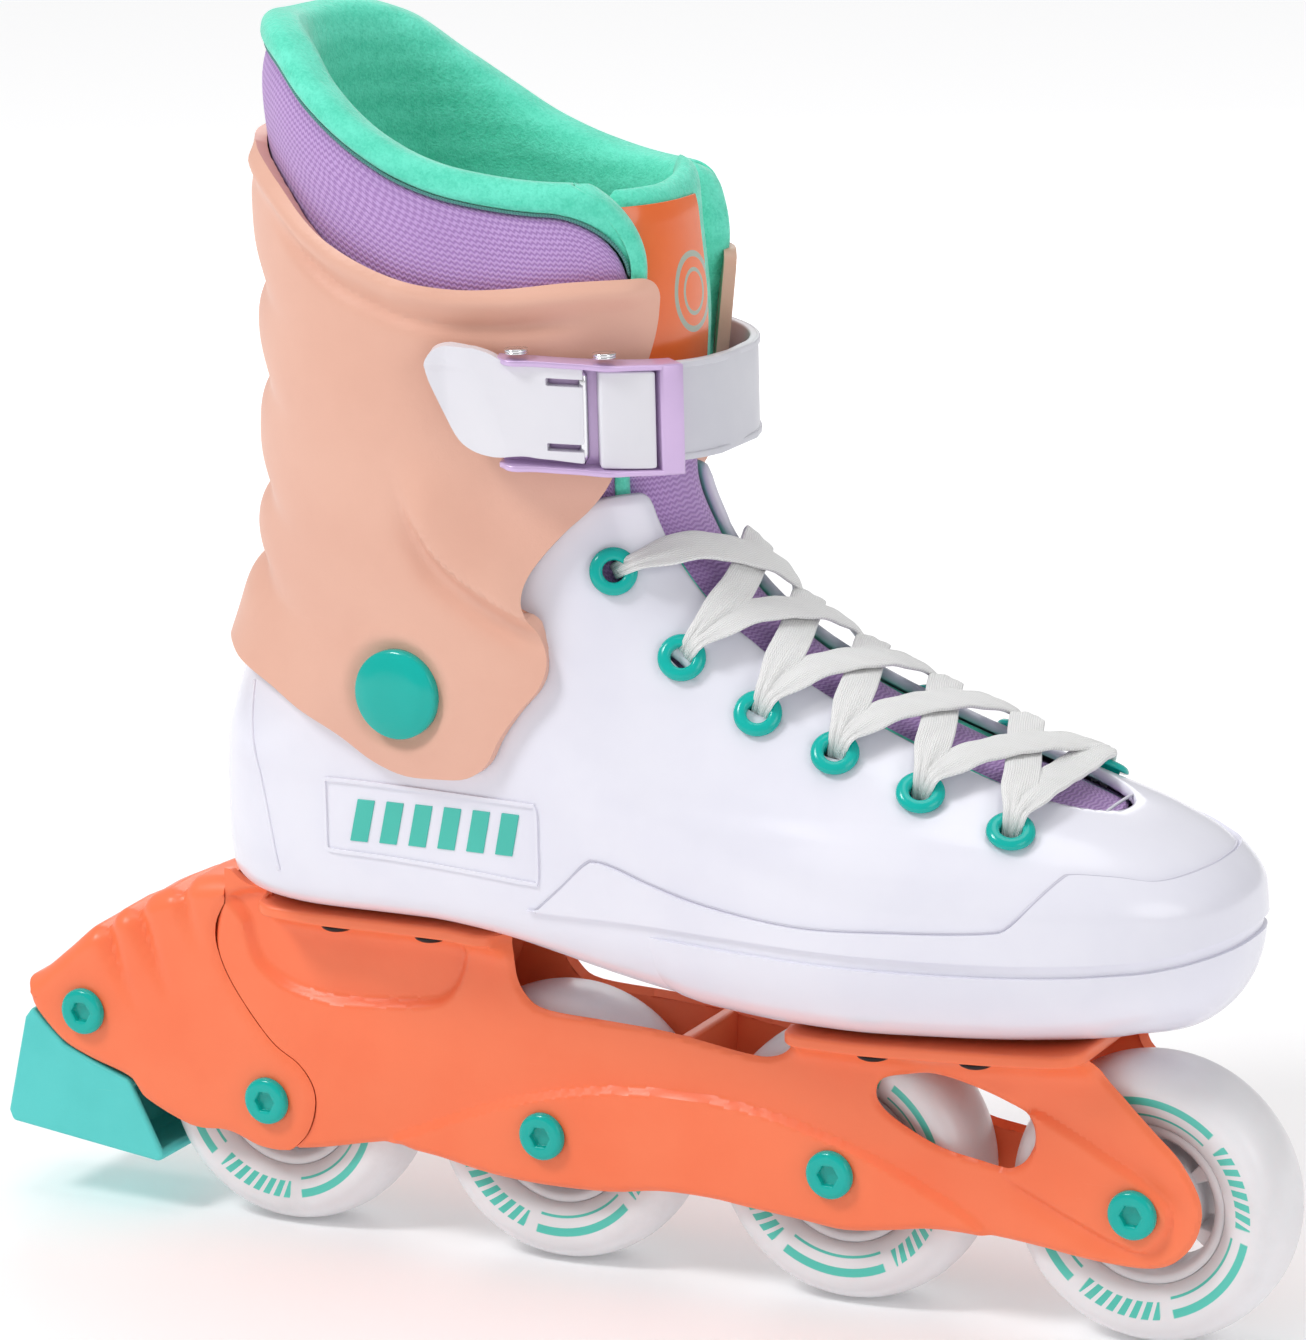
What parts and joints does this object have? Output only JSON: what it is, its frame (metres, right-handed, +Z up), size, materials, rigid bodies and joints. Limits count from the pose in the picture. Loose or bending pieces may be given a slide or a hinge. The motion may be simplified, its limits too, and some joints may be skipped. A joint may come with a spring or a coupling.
{
  "type": "inline skate",
  "caption": "Hard-shell inline skate for the right foot, with a hinged cuff, buckle strap, laces, padded liner, wheels in one line and a heel brake.",
  "frame": {"origin": "centre of the heel on the foot bed, the insole top, in the middle plane of the wheels", "axes": "+X to the toe, +Y to the inside of the foot, +Z up from the ground through the shaft"},
  "size_m": [0.3566, 0.1054, 0.318],
  "materials": {
    "shell_white": "moulded, satin gloss",
    "strap_white": "moulded, satin",
    "cuff_peach": "moulded, matte satin",
    "frame_orange": "moulded, satin",
    "teal_enamel": "gloss enamel",
    "brake_rubber": "moulded rubber",
    "liner_knit": "padded knit",
    "lining_mint": "brushed knit",
    "lace_cotton": "flat woven",
    "lilac_metal": "satin",
    "steel": "polished",
    "black_steel": "black",
    "urethane": "cast urethane, satin",
    "hub_white": "moulded"
  },
  "bodies": {
    "boot": {"brake_bolt": "teal_enamel", "brake_bracket": "frame_orange", "brake_pad": "brake_rubber", "buckle_base": "lilac_metal", "buckle_block": "shell_white", "buckle_lever": "shell_white", "buckle_pin_front": "steel", "buckle_pin_rear": "steel", "cuff": "cuff_peach", "cuff_pivot_lateral": "teal_enamel", "cuff_pivot_medial": "teal_enamel", "eyelet_lateral_1": "teal_enamel", "eyelet_lateral_2": "teal_enamel", "eyelet_lateral_3": "teal_enamel", "eyelet_lateral_4": "teal_enamel", "eyelet_lateral_5": "teal_enamel", "eyelet_lateral_6": "teal_enamel", "eyelet_medial_1": "teal_enamel", "eyelet_medial_2": "teal_enamel", "eyelet_medial_3": "teal_enamel", "eyelet_medial_4": "teal_enamel", "eyelet_medial_5": "teal_enamel", "eyelet_medial_6": "teal_enamel", "frame": "frame_orange", "insole": "lining_mint", "lace": "lace_cotton", "liner": "liner_knit", "mount_rivet_1": "black_steel", "mount_rivet_2": "black_steel", "mount_rivet_3": "black_steel", "mount_rivet_4": "black_steel", "mount_rivet_5": "black_steel", "mount_rivet_6": "black_steel", "mount_rivet_7": "black_steel", "mount_rivet_8": "black_steel", "sole": "shell_white", "strap": "strap_white", "tongue": "liner_knit", "upper_shell": "shell_white", "wheel_1_axle": "teal_enamel", "wheel_2_axle": "teal_enamel", "wheel_3_axle": "teal_enamel", "wheel_4_axle": "teal_enamel"},
    "wheel_1": {"wheel_1_tyre": "urethane", "wheel_1_hub": "hub_white", "wheel_1_bearing_left": "steel", "wheel_1_bearing_right": "steel"},
    "wheel_2": {"wheel_2_tyre": "urethane", "wheel_2_hub": "hub_white", "wheel_2_bearing_left": "steel", "wheel_2_bearing_right": "steel"},
    "wheel_3": {"wheel_3_tyre": "urethane", "wheel_3_hub": "hub_white", "wheel_3_bearing_left": "steel", "wheel_3_bearing_right": "steel"},
    "wheel_4": {"wheel_4_tyre": "urethane", "wheel_4_hub": "hub_white", "wheel_4_bearing_left": "steel", "wheel_4_bearing_right": "steel"}
  },
  "joints": [
    {"name": "wheel_1_spin", "type": "hinge", "parent": "boot", "child": "wheel_1", "pos_m": [-0.04, 0, -0.07578], "axis": [0, 1, 0], "continuous": true},
    {"name": "wheel_2_spin", "type": "hinge", "parent": "boot", "child": "wheel_2", "pos_m": [0.04, 0, -0.07578], "axis": [0, 1, 0], "continuous": true},
    {"name": "wheel_3_spin", "type": "hinge", "parent": "boot", "child": "wheel_3", "pos_m": [0.12, 0, -0.07578], "axis": [0, 1, 0], "continuous": true},
    {"name": "wheel_4_spin", "type": "hinge", "parent": "boot", "child": "wheel_4", "pos_m": [0.2, 0, -0.07578], "axis": [0, 1, 0], "continuous": true}
  ]
}
